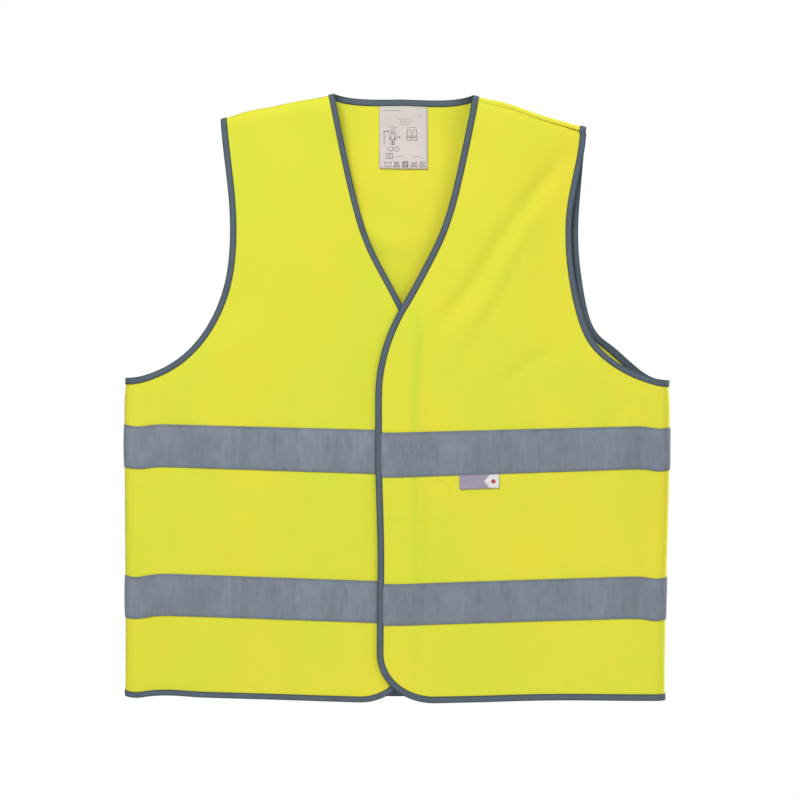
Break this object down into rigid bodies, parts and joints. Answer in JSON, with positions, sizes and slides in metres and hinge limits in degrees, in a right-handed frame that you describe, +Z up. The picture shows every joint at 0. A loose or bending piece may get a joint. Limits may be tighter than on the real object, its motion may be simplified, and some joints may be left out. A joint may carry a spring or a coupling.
{
  "type": "high visibility vest",
  "caption": "Sleeveless open-front safety vest in fluorescent yellow knit, with a V neck, reflective tape bands round the body, bound edges and a lapped hook-and-loop front.",
  "frame": {"origin": "midway between the two points where the shoulder folds meet the neck, at the height of those points: the place where the vest hangs from the wearer's shoulders or a hanger", "axes": "+Z up along the body, -Y out of the front, +X to the wearer's left"},
  "size_m": [0.6276, 0.0242, 0.6948],
  "materials": {
    "hi_vis_cloth": "matte fluorescent yellow warp-knit polyester",
    "reflective_tape": "silver-grey glass-bead retroreflective tape, satin",
    "edge_binding": "blue-grey woven polyester binding, matte",
    "hook_and_loop": "yellow nylon hook and loop pile",
    "label_satin": "off-white printed satin label",
    "tab_satin": "lilac-grey woven tab with a plain white end"
  },
  "bodies": {
    "root": {"back_panel": "hi_vis_cloth", "left_side_front": "hi_vis_cloth", "right_side_front": "hi_vis_cloth", "left_side_seam": "hi_vis_cloth", "right_side_seam": "hi_vis_cloth", "left_shoulder_seam": "hi_vis_cloth", "right_shoulder_seam": "hi_vis_cloth", "back_lower_tape": "reflective_tape", "back_upper_tape": "reflective_tape", "left_side_lower_tape": "reflective_tape", "left_side_upper_tape": "reflective_tape", "right_side_lower_tape": "reflective_tape", "right_side_upper_tape": "reflective_tape", "back_neck_binding": "edge_binding", "back_hem_binding": "edge_binding", "left_neck_binding": "edge_binding", "left_side_hem_binding": "edge_binding", "left_armhole_binding": "edge_binding", "right_neck_binding": "edge_binding", "right_side_hem_binding": "edge_binding", "right_armhole_binding": "edge_binding"},
    "left_flap": {"left_flap_front": "hi_vis_cloth", "left_flap_lower_tape": "reflective_tape", "left_flap_upper_tape": "reflective_tape", "left_flap_edge_binding": "edge_binding", "hook_strip": "hook_and_loop"},
    "right_flap": {"right_flap_front": "hi_vis_cloth", "right_flap_lower_tape": "reflective_tape", "right_flap_upper_tape": "reflective_tape", "right_flap_edge_binding": "edge_binding", "loop_pad": "hook_and_loop"},
    "care_label": {"care_label": "label_satin"},
    "tape_tab": {"tape_tab": "tab_satin"}
  },
  "joints": [
    {"name": "left_front_fold", "type": "hinge", "parent": "root", "child": "left_flap", "pos_m": [0.07, -0.0133, -0.08], "axis": [-0.2147, 0, 0.9767], "range_deg": [0, 160]},
    {"name": "right_front_fold", "type": "hinge", "parent": "root", "child": "right_flap", "pos_m": [-0.07, -0.0094, -0.08], "axis": [-0.2147, 0, -0.9767], "range_deg": [0, 100]},
    {"name": "care_label_flip", "type": "hinge", "parent": "root", "child": "care_label", "pos_m": [0, 0.0088, -0.0146], "axis": [-1, 0, 0], "range_deg": [0, 120]},
    {"name": "tape_tab_flip", "type": "hinge", "parent": "left_flap", "child": "tape_tab", "pos_m": [0.094, -0.0131, -0.4343], "axis": [-1, 0, 0], "range_deg": [0, 150]}
  ],
  "couplings": [
    {"joint": "right_front_fold", "follows": "left_front_fold", "ratio": 0.62}
  ]
}
